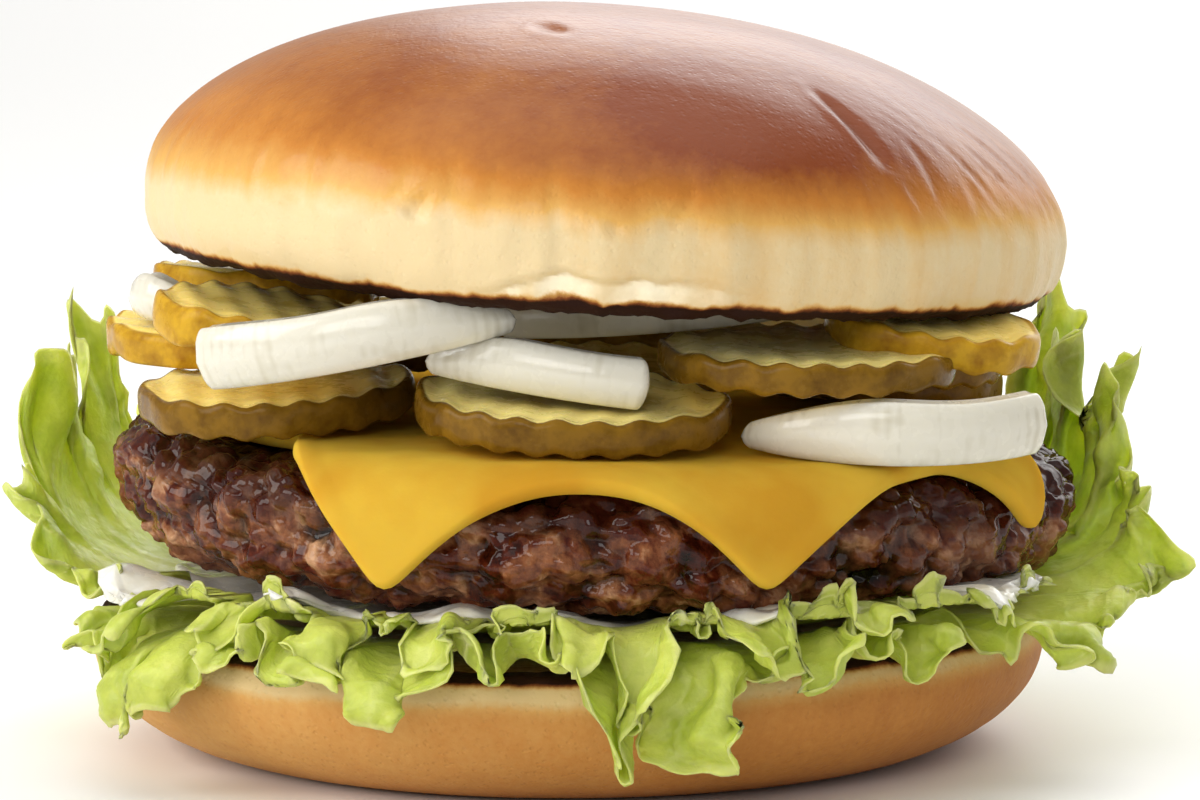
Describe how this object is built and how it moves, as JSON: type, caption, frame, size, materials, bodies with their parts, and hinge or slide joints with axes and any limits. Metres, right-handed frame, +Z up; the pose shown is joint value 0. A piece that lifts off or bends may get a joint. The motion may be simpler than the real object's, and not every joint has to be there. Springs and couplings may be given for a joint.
{
  "type": "cheeseburger",
  "caption": "Beef patty with melted cheese, crinkle-cut pickles and sliced onion in a round glossy bun on frilly lettuce and white sauce.",
  "frame": {"origin": "the middle of the bottom bun's flat underside, where the burger rests", "axes": "+Z up through the stack; the front, where the cheese's two long corners hang, faces -Y; +X to its right"},
  "size_m": [0.1352, 0.1297, 0.0842],
  "materials": {
    "crust": "glossy golden-brown bread crust, pale at the cut edges",
    "beef": "seared coarse-ground beef, moist",
    "cheese": "melted yellow cheese, satin",
    "lettuce": "fresh leaf, thin and veined, paler at the margin",
    "sauce": "creamy white sauce, glossy",
    "pickle": "crinkle-cut gherkin, wet, olive rim and pale face",
    "onion": "raw white onion, wet and translucent"
  },
  "bodies": {
    "root": {"heel": "crust", "crown": "crust", "patty": "beef", "cheese": "cheese", "lettuce_left": "lettuce", "lettuce_under": "lettuce", "lettuce_right": "lettuce", "lettuce_behind": "lettuce", "lettuce_front": "lettuce", "sauce": "sauce", "pickle_left": "pickle", "pickle_front": "pickle", "pickle_back": "pickle", "pickle_back_left": "pickle", "pickle_back_right": "pickle", "pickle_middle": "pickle", "pickle_middle_right": "pickle", "pickle_far_left": "pickle", "pickle_right": "pickle", "pickle_upper_left": "pickle", "pickle_upper_right": "pickle", "pickle_upper_far_left": "pickle", "pickle_upper_back": "pickle", "pickle_upper_back_right": "pickle", "onion_right": "onion", "onion_far_left": "onion", "onion_middle": "onion", "onion_left": "onion", "onion_inner": "onion", "onion_back_right": "onion", "onion_back_left": "onion"}
  },
  "joints": []
}
